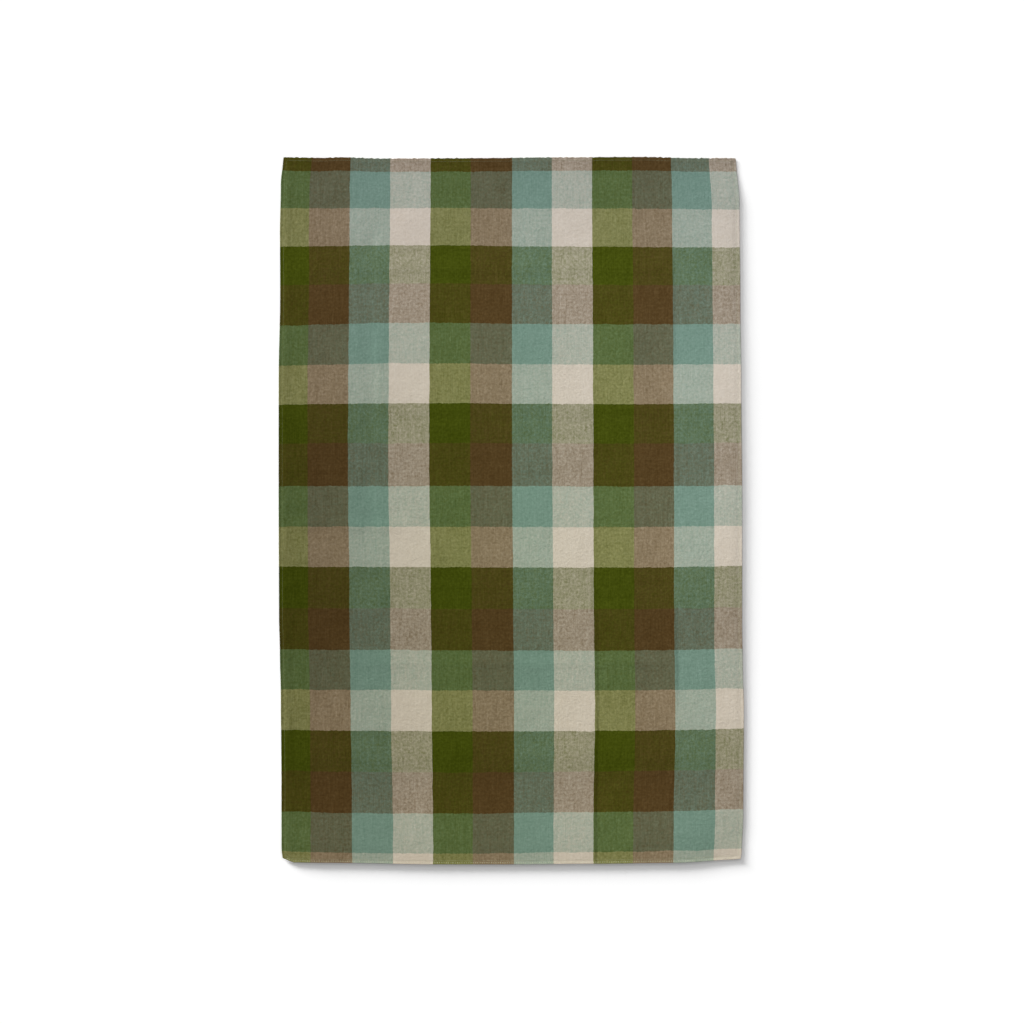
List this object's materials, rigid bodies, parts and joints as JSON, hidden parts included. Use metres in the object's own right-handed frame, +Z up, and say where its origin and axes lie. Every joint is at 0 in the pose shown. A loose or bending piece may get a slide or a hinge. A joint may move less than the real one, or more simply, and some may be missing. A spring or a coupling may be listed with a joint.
{
  "type": "check tablecloth",
  "caption": "Rectangular woven check tablecloth with narrow stitched hems, lying flat and face up to cover a dining table.",
  "frame": {"origin": "middle of the cloth's outline, on the plane it lies on", "axes": "+X across the width to the right, +Y along the length to the top, +Z up through the face of the cloth"},
  "size_m": [1.517, 2.3056, 0.0111],
  "materials": {
    "check_cloth": "plain-woven matt linen and cotton cloth in olive, brown, grey-green and cream yarn",
    "hem_thread": "matt natural linen-coloured sewing thread of the hem's stitching"
  },
  "bodies": {
    "root": {"tablecloth": "check_cloth"}
  },
  "joints": []
}
